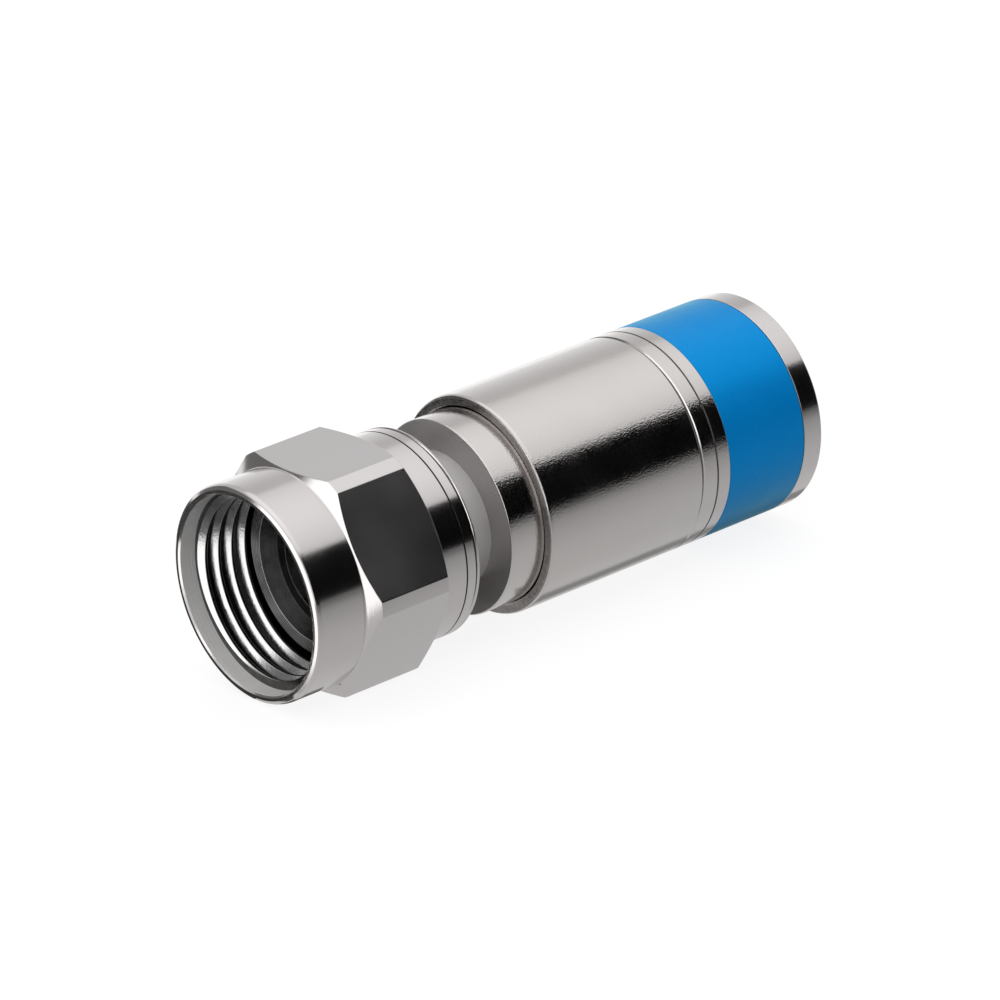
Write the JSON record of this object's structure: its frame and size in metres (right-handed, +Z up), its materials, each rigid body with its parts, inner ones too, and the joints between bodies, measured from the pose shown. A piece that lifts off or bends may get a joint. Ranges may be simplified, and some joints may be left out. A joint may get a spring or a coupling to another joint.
{
  "type": "coaxial f connector",
  "caption": "Coaxial cable plug with a turning hexagonal nut, a hollow post and a press sleeve that grips the cable.",
  "frame": {"origin": "on the ground under the middle of the plug, which lies on one flat of its nut and on the rear of its sleeve", "axes": "+X along the plug's axis towards the cable end, +Z up, the nut's mouth looks towards -X"},
  "size_m": [0.0316, 0.0122, 0.011],
  "materials": {
    "nut_metal": "bright nickel plate",
    "seal_rubber": "matt black rubber",
    "post_metal": "fine turned nickel plate",
    "body_metal": "satin nickel plate",
    "sleeve_metal": "satin nickel plate",
    "band_blue": "blue anodised, fine grain",
    "grip_plastic": "natural white moulded plastic"
  },
  "bodies": {
    "plug_body": {"connector_body": "body_metal", "post": "post_metal"},
    "seal_carrier": {"nut_seal": "seal_rubber"},
    "nut": {"coupling_nut": "nut_metal"},
    "sleeve": {"compression_sleeve": "sleeve_metal", "marking_band": "band_blue", "grip_ring": "grip_plastic"}
  },
  "joints": [
    {"name": "nut_float", "type": "slide", "parent": "plug_body", "child": "seal_carrier", "axis": [1, 0, 0], "range_m": [0, 0.00214]},
    {"name": "nut_spin", "type": "hinge", "parent": "seal_carrier", "child": "nut", "pos_m": [-0.00811, 0, 0.0055], "axis": [1, 0, 0], "continuous": true},
    {"name": "sleeve_press", "type": "slide", "parent": "plug_body", "child": "sleeve", "axis": [-1, 0, 0], "range_m": [0, 0.00195]}
  ]
}
